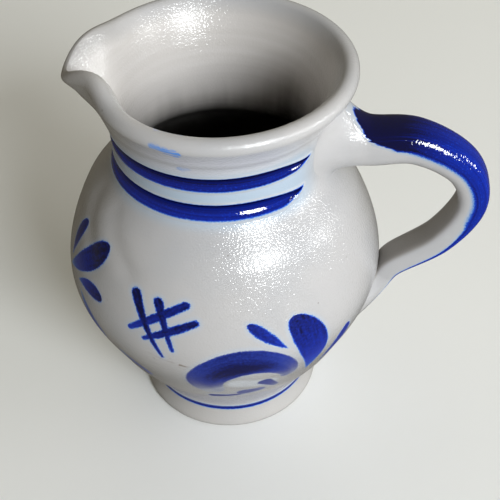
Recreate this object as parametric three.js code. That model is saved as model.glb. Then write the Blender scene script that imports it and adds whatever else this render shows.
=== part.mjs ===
// Salt-glazed stoneware jug with a pulled spout, a strap handle and cobalt bands.
// Millimetres, +Z up. The origin is the centre of the flat base, the handle is on +X
// and the spout on the far side, a little off the line, as on the thrown original.
import * as THREE from "three";
import { mergeVertices } from "three/addons/utils/BufferGeometryUtils.js";

// Outside of the thrown wall, from the base up: each rise is from the level before it.
const jugHeight = 172.2; // base to the top of the lip, beside the spout
const footRadius = 41;
const footEdge = 1.4; // worn edge under the foot
const footRise = 10.5; // base to the groove over the foot
const waistRadius = 38.4; // in that groove
const flankRise = 34;
const flankRadius = 55.4;
const bellyRise = 34;
const bellyRadius = 66;

// And from the lip down: each drop is from the level before it.
const lipThickness = 5.8;
const lipRadius = 49.3; // middle of the rounded lip
const lipOuterAngle = -34; // degrees of the lip's round, where it leaves the outside
const lipInnerAngle = 150; // and where it meets the inside
const flareDrop = 10.3;
const flareRadius = 45.3;
const throatDrop = 9.5;
const throatRadius = 42.1;
const neckDrop = 10;
const neckRadius = 41.4;
const collarDrop = 10;
const collarRadius = 42.6; // where neck turns into shoulder
const shoulderDrop = 17;
const shoulderRadius = 55.6;

// Inside of the wall.
const wallThickness = 5.5;
const floorThickness = 8;
const floorFillet = 11; // round between floor and wall

// Spout, pulled out of the lip by hand.
const spoutTurn = 10; // degrees off the line through the handle
const spoutReach = 4.3; // tip beyond the round of the lip
const spoutSpread = 14; // degrees each side of the tip
const throatPinch = 7; // how far the fingers press the lip in beside the tip
const pinchSpread = 45;
const spoutWingRise = 3.2; // the lip stands up at each side of the tip
const spoutWingAngle = 18;
const spoutWingSpread = 12;
const spoutTipDip = 3.6;
const spoutTipSpread = 8;

// Strap handle: both ends are thumbed out on the wall.
const handleReach = 50.5; // from the wall to the strap's middle line, at its furthest
const upperJointDrop = 0.5; // below the middle of the neck
const lowerJointDrop = 26; // below the belly's widest line
const strapWidthTop = 19;
const strapWidthMiddle = 15.5;
const strapWidthBottom = 13;
const strapThicknessTop = 16.6;
const strapThicknessMiddle = 11.9;
const strapThicknessBottom = 8.7;
const strapSectionExponent = 2.4; // 2 is an ellipse, more is squarer
// How far a root follows the wall, and then the strap, is a share of its length.
const upperRoot = { halfWidth: 20, halfHeight: 15, wallShare: 0.9, strapShare: 0.65 };
const lowerRoot = { halfWidth: 18, halfHeight: 24, wallShare: 0.13, strapShare: 1.44 };
const upperRootShare = 0.16; // share of the handle's length that is its upper root
const lowerRootShare = 0.16;
const strapEndSkew = 0.13; // share of the strap by which its inner face ends sooner
const rootEdge = 0.6; // thickness left at the thumbed-out edge
const rootInset = 0.94; // share of the footprint that shows which way the wall runs
// Course of the strap: how far off the wall it is, as a share of the reach, and how far
// down, as a share of the drop from upper to lower joint.
const strapCourse = [
  [0.351, 0.014],
  [0.669, 0.005],
  [1.008, 0.13],
  [0.877, 0.302],
  [0.518, 0.543],
  [0.107, 0.742],
  [0.067, 0.827],
];

// Cobalt laid on the clay.
const seatGap = 0.3; // between a laid-on piece and the wall under it
const bandEdge = 0.35; // thickness at the two edges of a band
const upperBand = { width: 6.5, proud: 0.6, endGap: 2 }; // endGap: tip to the handle's root
const lowerBand = { width: 6.8, proud: 0.6, endGap: 4.5 };
const footLine = { width: 2.4, proud: 0.5 };
const upperBandDrop = 4.2; // from the throat to the middle of the band
const lowerBandRise = 3.3; // from the collar to the middle of the band
const bandTaper = 13; // length of the tapered end
const bandTipWidth = 0.8;
const coatThickness = 0.6;
const coatStart = 0.09; // share of the handle's length, from the neck
const coatEnd = 0.93;
const coatTopAngle = 96; // degrees round the strap's section, from its outer face
const coatBottomAngle = 58;
const coatTipAngle = 8;
const coatTaper = 0.09; // share of the handle's length at each brushed end

// Facets.
const wallSegments = 64;
const outsideFacet = 7; // longest facet along the profile
const insideFacet = 13;
const lipSteps = 6;
const strapSides = 24;
const strapSteps = 30;
const rootSteps = 7;
const rootCapSizes = [0.12, 0.28, 0.46, 0.64, 0.82, 1]; // rings under a root
const bandSegments = 54;
const footLineSegments = 54;
const coatSteps = 36;
const coatSides = 12;
const coatGather = 0.6; // how far the facets gather at the brushed ends

// Levels of the wall above the base.
const waistLevel = footRise;
const flankLevel = waistLevel + flankRise;
const bellyLevel = flankLevel + bellyRise;
const lipLevel = jugHeight - lipThickness / 2;
const flareLevel = lipLevel - flareDrop;
const throatLevel = flareLevel - throatDrop;
const neckLevel = throatLevel - neckDrop;
const collarLevel = neckLevel - collarDrop;
const shoulderLevel = collarLevel - shoulderDrop;

const degrees = THREE.MathUtils.degToRad;
const spoutAngle = Math.PI + degrees(spoutTurn);

// A smooth profile through [radius, height] pairs, as points for the lathe.
function smoothProfile(pairs, facetLength) {
  const knots = pairs.map(([radius, height]) => new THREE.Vector3(radius, height, 0));
  const curve = new THREE.CatmullRomCurve3(knots, false, "centripetal");
  const points = [];
  for (let span = 0; span + 1 < knots.length; span += 1) {
    const steps = Math.ceil(knots[span].distanceTo(knots[span + 1]) / facetLength);
    for (let step = 0; step < steps; step += 1) {
      const point = curve.getPoint((span + step / steps) / (knots.length - 1));
      points.push(new THREE.Vector2(point.x, point.y));
    }
  }
  const [lastRadius, lastHeight] = pairs.at(-1);
  points.push(new THREE.Vector2(lastRadius, lastHeight));
  return points;
}

function lipPoint(angle) {
  const half = lipThickness / 2;
  return [
    lipRadius + half * Math.cos(degrees(angle)),
    lipLevel + half * Math.sin(degrees(angle)),
  ];
}

const outside = smoothProfile(
  [
    [footRadius, footEdge],
    [waistRadius, waistLevel],
    [flankRadius, flankLevel],
    [bellyRadius, bellyLevel],
    [shoulderRadius, shoulderLevel],
    [collarRadius, collarLevel],
    [neckRadius, neckLevel],
    [throatRadius, throatLevel],
    [flareRadius, flareLevel],
    lipPoint(lipOuterAngle),
  ],
  outsideFacet,
);

const inside = smoothProfile(
  [
    lipPoint(lipInnerAngle),
    [flareRadius - wallThickness, flareLevel - wallThickness / 2],
    [throatRadius - wallThickness, throatLevel],
    [neckRadius - wallThickness, neckLevel],
    [collarRadius - wallThickness, collarLevel - wallThickness],
    [shoulderRadius - wallThickness, shoulderLevel - wallThickness / 2],
    [bellyRadius - wallThickness, bellyLevel],
    [flankRadius - wallThickness, flankLevel],
    [waistRadius - wallThickness, floorThickness + floorFillet],
    [waistRadius - wallThickness - floorFillet, floorThickness],
    [0, floorThickness],
  ],
  insideFacet,
);

const lip = [];
for (let step = 1; step < lipSteps; step += 1) {
  const angle = THREE.MathUtils.lerp(lipOuterAngle, lipInnerAngle, step / lipSteps);
  lip.push(new THREE.Vector2(...lipPoint(angle)));
}

// Outside radius of the wall at a height, on the same facets as the vessel.
function wallRadius(height) {
  const next = outside.findIndex((point, index) => index > 0 && point.y >= height);
  const high = outside[next < 0 ? outside.length - 1 : next];
  const low = outside[next < 0 ? outside.length - 2 : next - 1];
  const share = (height - low.y) / (high.y - low.y);
  return THREE.MathUtils.lerp(low.x, high.x, share);
}

// A point at some distance outside the wall.
function onWall(angle, height, distance) {
  const radius = wallRadius(height) + distance;
  return new THREE.Vector3(radius * Math.cos(angle), radius * Math.sin(angle), height);
}

const bell = (angle, spread) => Math.exp(-((angle / spread) ** 2));

// Moves the lip and the neck under it as the potter's fingers do.
function pullSpout(geometry) {
  const position = geometry.getAttribute("position");
  const point = new THREE.Vector3();
  for (let index = 0; index < position.count; index += 1) {
    point.fromBufferAttribute(position, index);
    const share = THREE.MathUtils.smoothstep(point.z, throatLevel, jugHeight);
    if (share === 0) continue;
    const turn = Math.atan2(point.y, point.x) - spoutAngle;
    const away = Math.abs(Math.atan2(Math.sin(turn), Math.cos(turn)));
    const aside = THREE.MathUtils.radToDeg(away);
    const outward =
      (spoutReach + throatPinch) * bell(aside, spoutSpread) -
      throatPinch * bell(aside, pinchSpread);
    const upward =
      spoutWingRise * bell(aside - spoutWingAngle, spoutWingSpread) -
      spoutTipDip * bell(aside, spoutTipSpread);
    const radius = Math.hypot(point.x, point.y);
    const scale = (radius + share * outward) / radius;
    position.setXYZ(index, point.x * scale, point.y * scale, point.z + share * upward);
  }
}

function vesselGeometry() {
  const profile = [
    new THREE.Vector2(0, 0),
    new THREE.Vector2(footRadius - footEdge, 0),
    ...outside,
    ...lip,
    ...inside,
  ];
  const spoutSeam = spoutAngle + Math.PI / 2; // a line of points runs down the spout's tip
  const turned = new THREE.LatheGeometry(profile, wallSegments, spoutSeam);
  turned.rotateX(Math.PI / 2);
  turned.deleteAttribute("normal");
  turned.deleteAttribute("uv");
  const geometry = mergeVertices(turned, 1e-4);
  pullSpout(geometry);
  return geometry;
}

// Joins rings of points into a closed skin, with one point to close each end.
function loftGeometry(rings, firstPoint, lastPoint) {
  const sides = rings[0].length;
  const vertices = rings.flat();
  const faces = [];
  for (let ring = 0; ring + 1 < rings.length; ring += 1) {
    for (let side = 0; side < sides; side += 1) {
      const a = ring * sides + side;
      const b = ring * sides + ((side + 1) % sides);
      faces.push(a, b, b + sides, a, b + sides, a + sides);
    }
  }
  const lastRing = (rings.length - 1) * sides;
  const first = vertices.push(firstPoint) - 1;
  const last = vertices.push(lastPoint) - 1;
  for (let side = 0; side < sides; side += 1) {
    const next = (side + 1) % sides;
    faces.push(first, next, side);
    faces.push(last, lastRing + side, lastRing + next);
  }
  return new THREE.BufferGeometry().setFromPoints(vertices).setIndex(faces);
}

// Joins rings into a closed hoop, the last ring to the first.
function hoopGeometry(rings) {
  const sides = rings[0].length;
  const faces = [];
  rings.forEach((ring, index) => {
    const here = index * sides;
    const there = ((index + 1) % rings.length) * sides;
    ring.forEach((point, side) => {
      const next = (side + 1) % sides;
      faces.push(here + side, here + next, there + next);
      faces.push(here + side, there + next, there + side);
    });
  });
  return new THREE.BufferGeometry().setFromPoints(rings.flat()).setIndex(faces);
}

// Handle: one surface from the neck to the belly. `along` runs 0 to 1, and `around`
// is the angle in the section, a quarter turn being the outer face.
const upperJoint = neckLevel - upperJointDrop;
const lowerJoint = bellyLevel - lowerJointDrop;
const upperShare = upperRootShare;
const lowerShare = 1 - lowerRootShare;

const strapLine = new THREE.CatmullRomCurve3(
  strapCourse.map(([reach, drop]) => {
    const height = THREE.MathUtils.lerp(upperJoint, lowerJoint, drop);
    return onWall(0, height, handleReach * reach);
  }),
  false,
  "centripetal",
);

function threeSizes(top, middle, bottom, share) {
  return share < 0.5
    ? THREE.MathUtils.lerp(top, middle, share * 2)
    : THREE.MathUtils.lerp(middle, bottom, share * 2 - 1);
}

function squared(value) {
  return Math.sign(value) * Math.abs(value) ** (2 / strapSectionExponent);
}

function strapPoint(share, around) {
  const centre = strapLine.getPoint(share);
  const along = strapLine.getTangent(share);
  const outer = new THREE.Vector3(-along.z, 0, along.x);
  const width = threeSizes(strapWidthTop, strapWidthMiddle, strapWidthBottom, share);
  const thickness = threeSizes(
    strapThicknessTop,
    strapThicknessMiddle,
    strapThicknessBottom,
    share,
  );
  centre.addScaledVector(outer, (squared(Math.sin(around)) * thickness) / 2);
  centre.y += (squared(Math.cos(around)) * width) / 2;
  return centre;
}

// A point of a root's footprint on the wall: size 1 is its edge, 0 its middle.
function footprint(root, joint, upDown, around, size, distance) {
  const height = joint + upDown * root.halfHeight * size * Math.sin(around);
  const angle = (root.halfWidth * size * Math.cos(around)) / wallRadius(joint);
  return onWall(angle, height, distance);
}

// A root leaves the wall along its surface and runs into the strap.
function rootPoint(root, joint, upDown, strapShare, share, around) {
  const edge = footprint(root, joint, upDown, around, 1, seatGap + rootEdge);
  const inner = footprint(root, joint, upDown, around, rootInset, seatGap + rootEdge);
  const strap = strapPoint(strapShare, around);
  const length = strap.distanceTo(edge);
  const wallWay = inner.sub(edge).setLength(root.wallShare * length);
  const strapWay = strapLine.getTangent(strapShare).multiplyScalar(upDown * root.strapShare * length);
  const cube = share ** 3;
  const square = share ** 2;
  return new THREE.Vector3()
    .addScaledVector(edge, 2 * cube - 3 * square + 1)
    .addScaledVector(wallWay, cube - 2 * square + share)
    .addScaledVector(strap, 3 * square - 2 * cube)
    .addScaledVector(strapWay, cube - square);
}

function handlePoint(along, around) {
  const strapEnd = 1 - (strapEndSkew * (1 - Math.sin(around))) / 2;
  if (along < upperShare) {
    return rootPoint(upperRoot, upperJoint, 1, 0, along / upperShare, around);
  }
  if (along > lowerShare) {
    const share = (1 - along) / (1 - lowerShare);
    return rootPoint(lowerRoot, lowerJoint, -1, strapEnd, share, around);
  }
  const share = (along - upperShare) / (lowerShare - upperShare);
  return strapPoint(share * strapEnd, around);
}

function handleGeometry() {
  const angles = [];
  for (let side = 0; side < strapSides; side += 1) {
    angles.push((side / strapSides) * 2 * Math.PI);
  }
  const cap = (root, joint, upDown) =>
    rootCapSizes.map((size) =>
      angles.map((around) => footprint(root, joint, upDown, around, size, seatGap)),
    );
  const rings = cap(upperRoot, upperJoint, 1);
  const ringAt = (along) => angles.map((around) => handlePoint(along, around));
  for (let step = 0; step < rootSteps; step += 1) {
    rings.push(ringAt((upperShare * step) / rootSteps));
  }
  for (let step = 0; step < strapSteps; step += 1) {
    rings.push(ringAt(THREE.MathUtils.lerp(upperShare, lowerShare, step / strapSteps)));
  }
  for (let step = 0; step <= rootSteps; step += 1) {
    rings.push(ringAt(THREE.MathUtils.lerp(lowerShare, 1, step / rootSteps)));
  }
  rings.push(...cap(lowerRoot, lowerJoint, -1).reverse());
  const upperMiddle = onWall(0, upperJoint, seatGap);
  const lowerMiddle = onWall(0, lowerJoint, seatGap);
  return loftGeometry(rings, upperMiddle, lowerMiddle);
}

// Point at a distance off the handle's surface.
function offHandle(along, around, distance) {
  const small = 1e-3;
  const ahead = handlePoint(along + small, around).sub(handlePoint(along - small, around));
  const beside = handlePoint(along, around + small).sub(handlePoint(along, around - small));
  const outward = beside.cross(ahead).normalize();
  return handlePoint(along, around).addScaledVector(outward, distance);
}

function coatGeometry() {
  const rings = [];
  for (let step = 0; step <= coatSteps; step += 1) {
    const even = step / coatSteps;
    const share = even - (coatGather * Math.sin(2 * Math.PI * even)) / (2 * Math.PI);
    const along = THREE.MathUtils.lerp(coatStart, coatEnd, share);
    const toEnd = Math.min(along - coatStart, coatEnd - along) / coatTaper;
    const brush = Math.sqrt(THREE.MathUtils.clamp(toEnd, 0, 1));
    const full = THREE.MathUtils.lerp(coatTopAngle, coatBottomAngle, share);
    const half = degrees(THREE.MathUtils.lerp(coatTipAngle, full, brush));
    const ring = [];
    for (let side = 0; side <= coatSides; side += 1) {
      const around = Math.PI / 2 - half + (2 * half * side) / coatSides;
      ring.push(offHandle(along, around, seatGap + coatThickness));
    }
    for (let side = coatSides; side >= 0; side -= 1) {
      const around = Math.PI / 2 - half + (2 * half * side) / coatSides;
      ring.push(offHandle(along, around, seatGap));
    }
    rings.push(ring);
  }
  const middle = seatGap + coatThickness / 2;
  const firstPoint = offHandle(coatStart, Math.PI / 2, middle);
  const lastPoint = offHandle(coatEnd, Math.PI / 2, middle);
  return loftGeometry(rings, firstPoint, lastPoint);
}

// One section of a band: down its rounded face, and up its back on the wall.
function bandSection(band, level, angle, width) {
  const section = [];
  const face = [1, 0.6, 0, -0.6, -1];
  face.forEach((part) => {
    const swell = (band.proud - bandEdge) * (1 - part ** 2) * (width / band.width);
    section.push(onWall(angle, level + (part * width) / 2, seatGap + bandEdge + swell));
  });
  const back = [-1, 0, 1];
  back.forEach((part) => {
    section.push(onWall(angle, level + (part * width) / 2, seatGap));
  });
  return section;
}

// A neck band runs round from one side of the handle's root to the other.
function neckBandGeometry(band, level) {
  const radius = wallRadius(level);
  const tip = (upperRoot.halfWidth + band.endGap) / radius;
  const rings = [];
  for (let step = 0; step <= bandSegments; step += 1) {
    const angle = THREE.MathUtils.lerp(tip, 2 * Math.PI - tip, step / bandSegments);
    const toTip = (Math.min(angle, 2 * Math.PI - angle) - tip) * radius;
    const brush = Math.sqrt(THREE.MathUtils.clamp(toTip / bandTaper, 0, 1));
    const width = THREE.MathUtils.lerp(bandTipWidth, band.width, brush);
    rings.push(bandSection(band, level, angle, width));
  }
  const middle = seatGap + bandEdge / 2;
  return loftGeometry(rings, onWall(tip, level, middle), onWall(-tip, level, middle));
}

function footLineGeometry() {
  const rings = [];
  for (let step = 0; step < footLineSegments; step += 1) {
    const angle = (step / footLineSegments) * 2 * Math.PI;
    rings.push(bandSection(footLine, waistLevel, angle, footLine.width));
  }
  return hoopGeometry(rings);
}

const stoneware = new THREE.MeshStandardMaterial({
  color: "#bdbcc1",
  roughness: 0.28,
  metalness: 0,
});
const cobalt = new THREE.MeshStandardMaterial({
  color: "#0b1f7a",
  roughness: 0.16,
  metalness: 0,
});

const jug = new THREE.Group();
jug.name = "jug";

function addPiece(name, geometry, material) {
  geometry.computeVertexNormals();
  const piece = new THREE.Mesh(geometry, material);
  piece.name = name;
  jug.add(piece);
}

addPiece("body", vesselGeometry(), stoneware);
addPiece("handle", handleGeometry(), stoneware);
addPiece("handle_coat", coatGeometry(), cobalt);
addPiece("neck_band_upper", neckBandGeometry(upperBand, throatLevel - upperBandDrop), cobalt);
addPiece("neck_band_lower", neckBandGeometry(lowerBand, collarLevel + lowerBandRise), cobalt);
addPiece("foot_line", footLineGeometry(), cobalt);

export default jug;
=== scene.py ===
import math
from bisect import bisect_right
from functools import reduce

import bmesh
import bpy
from mathutils import Matrix, Vector


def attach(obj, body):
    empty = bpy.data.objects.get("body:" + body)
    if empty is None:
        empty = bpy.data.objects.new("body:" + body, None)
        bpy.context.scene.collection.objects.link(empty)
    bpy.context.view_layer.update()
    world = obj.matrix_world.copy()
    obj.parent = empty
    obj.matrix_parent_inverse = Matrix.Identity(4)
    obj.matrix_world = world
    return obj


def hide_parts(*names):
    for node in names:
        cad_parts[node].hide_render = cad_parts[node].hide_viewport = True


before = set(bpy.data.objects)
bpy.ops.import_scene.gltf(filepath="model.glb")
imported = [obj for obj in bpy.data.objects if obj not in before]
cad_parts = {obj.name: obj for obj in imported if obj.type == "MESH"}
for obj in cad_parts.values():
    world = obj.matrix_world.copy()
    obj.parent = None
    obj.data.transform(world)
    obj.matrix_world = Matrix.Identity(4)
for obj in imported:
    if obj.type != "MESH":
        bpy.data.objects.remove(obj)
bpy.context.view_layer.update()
scene = bpy.context.scene
scene.view_settings.view_transform = "Standard"
mm = 0.001

# camera, at the photograph's angle
viewpoint = {
    "place": (0.0481, -0.2728, 0.3431),
    "right": (0.99286, 0.11786, -0.01844),
    "up": (-0.06916, 0.69468, 0.71599),
    "lens": 63.66,
    "sensor": 36.0,
}


def placeCamera():
    bpy.ops.object.camera_add()
    camera = bpy.context.object
    right = Vector(viewpoint["right"]).normalized()
    back = right.cross(Vector(viewpoint["up"])).normalized()
    up = back.cross(right)
    turn = Matrix((right, up, back)).transposed().to_4x4()
    camera.matrix_world = Matrix.Translation(viewpoint["place"]) @ turn
    camera.data.lens = viewpoint["lens"]
    camera.data.sensor_width = viewpoint["sensor"]
    scene.camera = camera


placeCamera()
print("camera placed")


# node helpers
def plug(tree, socket, value):
    if isinstance(value, bpy.types.NodeSocket):
        tree.links.new(value, socket)
    else:
        socket.default_value = value


def addNode(tree, kind, inputs=None, **settings):
    node = tree.nodes.new(kind)
    for name, value in settings.items():
        setattr(node, name, value)
    for name, value in (inputs or {}).items():
        plug(tree, node.inputs[name], value)
    return node


def operate(tree, kind, operation, values):
    node = addNode(tree, kind, operation=operation)
    for number, value in enumerate(values):
        plug(tree, node.inputs[number], value)
    return node.outputs


def maths(tree, operation, *values):
    return operate(tree, "ShaderNodeMath", operation, values)[0]


def vectorMaths(tree, operation, *values):
    outputs = operate(tree, "ShaderNodeVectorMath", operation, values)
    return outputs["Value" if operation == "DOT_PRODUCT" else "Vector"]


def times(tree, *values):
    return reduce(lambda total, value: maths(tree, "MULTIPLY", total, value), values)


def most(tree, values):
    return reduce(lambda total, value: maths(tree, "MAXIMUM", total, value), values)


def ranged(tree, value, low, high, toLow=0.0, toHigh=1.0, kind="SMOOTHSTEP"):
    inputs = {"Value": value, "From Min": low, "From Max": high, "To Min": toLow, "To Max": toHigh}
    node = addNode(tree, "ShaderNodeMapRange", inputs, interpolation_type=kind, clamp=True)
    return node.outputs["Result"]


def between(tree, share, first, second):
    # plain mix of two numbers
    rise = maths(tree, "SUBTRACT", second, first)
    return maths(tree, "MULTIPLY_ADD", rise, share, first)


def tinted(tree, share, first, second):
    # sockets 6 and 7 of a Mix node take its two colours
    node = addNode(tree, "ShaderNodeMix", data_type="RGBA", clamp_factor=True)
    plug(tree, node.inputs[0], share)
    plug(tree, node.inputs[6], first)
    plug(tree, node.inputs[7], second)
    return node.outputs[2]


def grain(tree, where, scale, detail=2.0, roughness=0.5):
    inputs = {"Vector": where, "Scale": scale, "Detail": detail, "Roughness": roughness}
    return addNode(tree, "ShaderNodeTexNoise", inputs).outputs["Fac"]


def swung(tree, noise):
    # noise that swings about nought
    return maths(tree, "SUBTRACT", noise, 0.5)


def axes(tree, where):
    return addNode(tree, "ShaderNodeSeparateXYZ", {"Vector": where}).outputs


def joined(tree, **parts):
    return addNode(tree, "ShaderNodeCombineXYZ", parts).outputs[0]


def stretched(tree, where, scale):
    return addNode(tree, "ShaderNodeMapping", {"Vector": where, "Scale": scale}).outputs[0]


def moved(tree, where, place, turn):
    inputs = {"Vector": where, "Location": place, "Rotation": turn}
    return addNode(tree, "ShaderNodeMapping", inputs, vector_type="TEXTURE").outputs[0]


def note(tree, name):
    return addNode(tree, "ShaderNodeAttribute", attribute_name=name).outputs["Fac"]


def colour(red, green, blue):
    return (red, green, blue, 1.0)


def metres(lengths):
    return [length * mm for length in lengths]


# shape helpers
def mix(first, second, share):
    return first + (second - first) * share


def smoothStep(value, low, high):
    share = min(1.0, max(0.0, (value - low) / (high - low)))
    return share * share * (3 - 2 * share)


def bell(value, spread):
    return math.exp(-((value / spread) ** 2))


def hermite(start, startWay, end, endWay, share):
    square, cube = share**2, share**3
    return (
        start * (2 * cube - 3 * square + 1)
        + startWay * (cube - 2 * square + share)
        + end * (3 * square - 2 * cube)
        + endWay * (cube - square)
    )


def spanEnds(points, first):
    # the two ends of one span of a smooth line through the points, each with its way
    here, there = points[first], points[first + 1]
    before = points[first - 1] if first else 2 * here - there
    after = points[first + 2] if first + 2 < len(points) else 2 * there - here
    pairs = ((before, here), (here, there), (there, after))
    legs = [math.sqrt((end - start).length) for start, end in pairs]
    way = (there - here) / legs[1]
    leave = (here - before) / legs[0] - (there - before) / (legs[0] + legs[1]) + way
    arrive = way - (after - here) / (legs[1] + legs[2]) + (after - there) / legs[2]
    return here, leave * legs[1], there, arrive * legs[1]


def smoothLine(knots, spacing):
    # a smooth line through the knots, with points about this far apart
    points = [Vector(knot) for knot in knots]
    line = []
    for first in range(len(points) - 1):
        ends = spanEnds(points, first)
        steps = max(1, math.ceil((points[first + 1] - points[first]).length / spacing))
        line += [hermite(*ends, step / steps) for step in range(steps)]
    line.append(points[-1])
    return line


def readLine(keys, values, key):
    # the value at this key, straight between the points of a line
    high = min(max(bisect_right(keys, key), 1), len(keys) - 1)
    low = high - 1
    return mix(values[low], values[high], (key - keys[low]) / (keys[high] - keys[low]))


def pushed(point, outward, upward=0.0):
    # away from the axis and up, in millimetres
    radius = math.hypot(point.x, point.y)
    grow = (radius + outward * mm) / radius
    return Vector((point.x * grow, point.y * grow, point.z + upward * mm))


def startPiece(name):
    piece = bpy.context.object
    piece.name = name
    piece.data.name = name
    bpy.ops.object.mode_set(mode="EDIT")
    bpy.ops.mesh.select_all(action="SELECT")
    return piece


def finishPiece(piece, material, slot, *nodes):
    bpy.ops.object.mode_set(mode="OBJECT")
    bpy.ops.object.shade_smooth()
    piece.data.materials.clear()
    piece.data.materials.append(material)
    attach(piece, "root")
    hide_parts(*nodes)
    print(piece.name, "has", len(piece.data.polygons), "faces")


def spinProfile(name, profile, steps):
    # one point is drawn along the profile, and the line is turned like a pot on the wheel
    bpy.ops.object.select_all(action="DESELECT")
    bpy.ops.mesh.primitive_plane_add(size=mm)
    piece = startPiece(name)
    bpy.ops.mesh.merge(type="CENTER")
    places = [Vector((radius * mm, 0, height * mm)) for radius, height in profile]
    bpy.ops.transform.translate(value=places[0])
    for before, after in zip(places, places[1:]):
        bpy.ops.mesh.extrude_region_move(TRANSFORM_OT_translate={"value": after - before})
    bpy.ops.mesh.select_all(action="SELECT")
    bpy.ops.mesh.spin(steps=steps, angle=2 * math.pi, center=(0, 0, 0), axis=(0, 0, 1))
    bpy.ops.mesh.select_all(action="SELECT")
    bpy.ops.mesh.remove_doubles(threshold=0.01 * mm)
    bpy.ops.mesh.normals_make_consistent(inside=False)
    return piece


def placeBehind(vert, front):
    # the place in the ring of the point that this one was drawn from
    behind = [edge.other_vert(vert).index for edge in vert.link_edges]
    return next(front[index] for index in behind if index in front)


def sweepRings(name, rings, notes):
    # a circle is drawn out ring by ring, each ring set to its own section, in millimetres
    # notes gives numbers that the material reads at each point
    sides = len(rings[0])
    bpy.ops.object.select_all(action="DESELECT")
    bpy.ops.mesh.primitive_circle_add(vertices=sides, radius=mm)
    piece = startPiece(name)
    mesh = bmesh.from_edit_mesh(piece.data)
    for noteName in notes:
        mesh.verts.layers.float.new(noteName)
    front = {}
    for number, ring in enumerate(rings):
        if number:
            bpy.ops.mesh.extrude_region_move()
        mesh = bmesh.from_edit_mesh(piece.data)
        mesh.verts.ensure_lookup_table()
        newest = mesh.verts[-sides:]
        if number:
            order = {vert: placeBehind(vert, front) for vert in newest}
        else:
            order = {vert: place for place, vert in enumerate(newest)}
        for vert, place in order.items():
            vert.co = ring[place] * mm
            for noteName, values in notes.items():
                vert[mesh.verts.layers.float[noteName]] = values[number][place]
        front = {vert.index: place for vert, place in order.items()}
    bmesh.update_edit_mesh(piece.data)
    bpy.ops.mesh.select_all(action="DESELECT")
    bpy.ops.mesh.select_non_manifold()
    bpy.ops.mesh.edge_face_add()
    bpy.ops.mesh.select_all(action="SELECT")
    bpy.ops.mesh.normals_make_consistent(inside=False)
    return piece


def layLayer(name, rows, material, node):
    # a thin closed layer of cobalt: each cell of a row is its face, its back and the four notes there
    rings = [[cell[0] for cell in row] + [cell[1] for cell in row[::-1]] for row in rows]
    notes = {}
    for number, noteName in enumerate(("shore", "fall", "lane", "gleam"), 2):
        notes[noteName] = [[cell[number] for cell in row + row[::-1]] for row in rows]
    finishPiece(sweepRings(name, rings, notes), material, "cobalt", node)


# the thrown vessel, in millimetres
vessel = {
    "outside": [(41, 1.4), (38.4, 10.5), (55.4, 44.5), (66, 78.5), (55.6, 112.5), (42.6, 129.5),
                (41.4, 139.5), (42.2, 149.5), (46.5, 158.5)],
    "lipRadius": 48.7,
    "lipLevel": 168.8,
    "lipHalf": 3.4,
    "lipFrom": -36,
    "lipTo": 140,
    "lipSteps": 16,
    "sag": 1.8,
    "sagSpread": 50,
    "inside": [(42.9, 166.2), (39.6, 158.4), (37.4, 150), (36.3, 139.5), (37.3, 124), (50.1, 109.7),
               (60.5, 78.5), (49.9, 44.5), (32.9, 19), (21.9, 8)],
    "insideGap": 2.5,
    "floor": 8,
    "footEdge": 1.4,
    "footTurns": (0.5, 1.0),
    "spacing": 0.9,
    "insideSpacing": 3,
    "steps": 192,
    # soft dents that fingers left in the shoulder: degrees round and millimetres up, half width and depth
    "dents": [((205, 119), (220, 102), 4.4, 0.75), ((223, 120.5), (240, 108), 4, 0.6)],
}
# the spout that was pulled out of the lip, in millimetres and degrees
spout = {
    "angle": 190,
    "reach": 4.3,
    # pairs are the side near the front and the far side, which was pulled more softly
    "spread": (14, 17),
    "pinch": (7, 4.5),
    "wingSpread": (12, 16),
    "thinSpread": (12, 16),
    "farFrom": -8,
    "farTo": 24,
    "pinchSpread": 45,
    "wingRise": 3.2,
    "wingAngle": 18,
    "thin": 4.2,
    "thinBlend": 1,
    "tipDip": 3.6,
    "tipSpread": 8,
    "from": 149.5,
    "to": 172.2,
}
# two painted grooves round the neck, in millimetres and degrees
bands = {
    "upper": {"top": 148.5, "bottom": 142.0, "tip": 29, "taper": 11, "tipDrop": 3.2},
    "lower": {"top": 136.2, "bottom": 129.4, "tip": 34.5, "taper": 14, "tipDrop": 2.6},
    "dropSpread": 30,
    "profile": [(0, 0), (0.1, -0.45), (0.32, -0.85), (0.55, -0.6), (0.74, -0.05), (0.87, 0.08), (1, 0)],
    "profileSpacing": 0.05,
    "grooveLead": 4,
    "lead": 3,
    "fadeIn": 2.5,
    "tipHeight": 0.6,
    "margin": 1.6,
    "featherTo": -0.4,
    "coat": 0.14,
    "edgeSink": -0.08,
    "sink": -0.3,
    "rows": 26,
    "segments": 220,
}


def lipPoint(angle):
    turn = math.radians(angle)
    half = vessel["lipHalf"]
    return (vessel["lipRadius"] + half * math.cos(turn), vessel["lipLevel"] + half * math.sin(turn))


outsideLine = smoothLine(vessel["outside"] + [lipPoint(vessel["lipFrom"])], vessel["spacing"])
outsideRadii, outsideHeights = zip(*outsideLine)
grooveShares, grooveDepths = zip(*smoothLine(bands["profile"], bands["profileSpacing"]))


def wallRadius(height):
    return readLine(outsideHeights, outsideRadii, height)


def onWall(angle, height, distance=0.0):
    radius = wallRadius(height) + distance
    return Vector((radius * math.cos(angle), radius * math.sin(angle), height))


def bandTop(band, aside):
    # the brush sank a little towards the handle
    return band["top"] - band["tipDrop"] * bell(max(0, aside - band["tip"]), bands["dropSpread"]) ** 3


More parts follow.
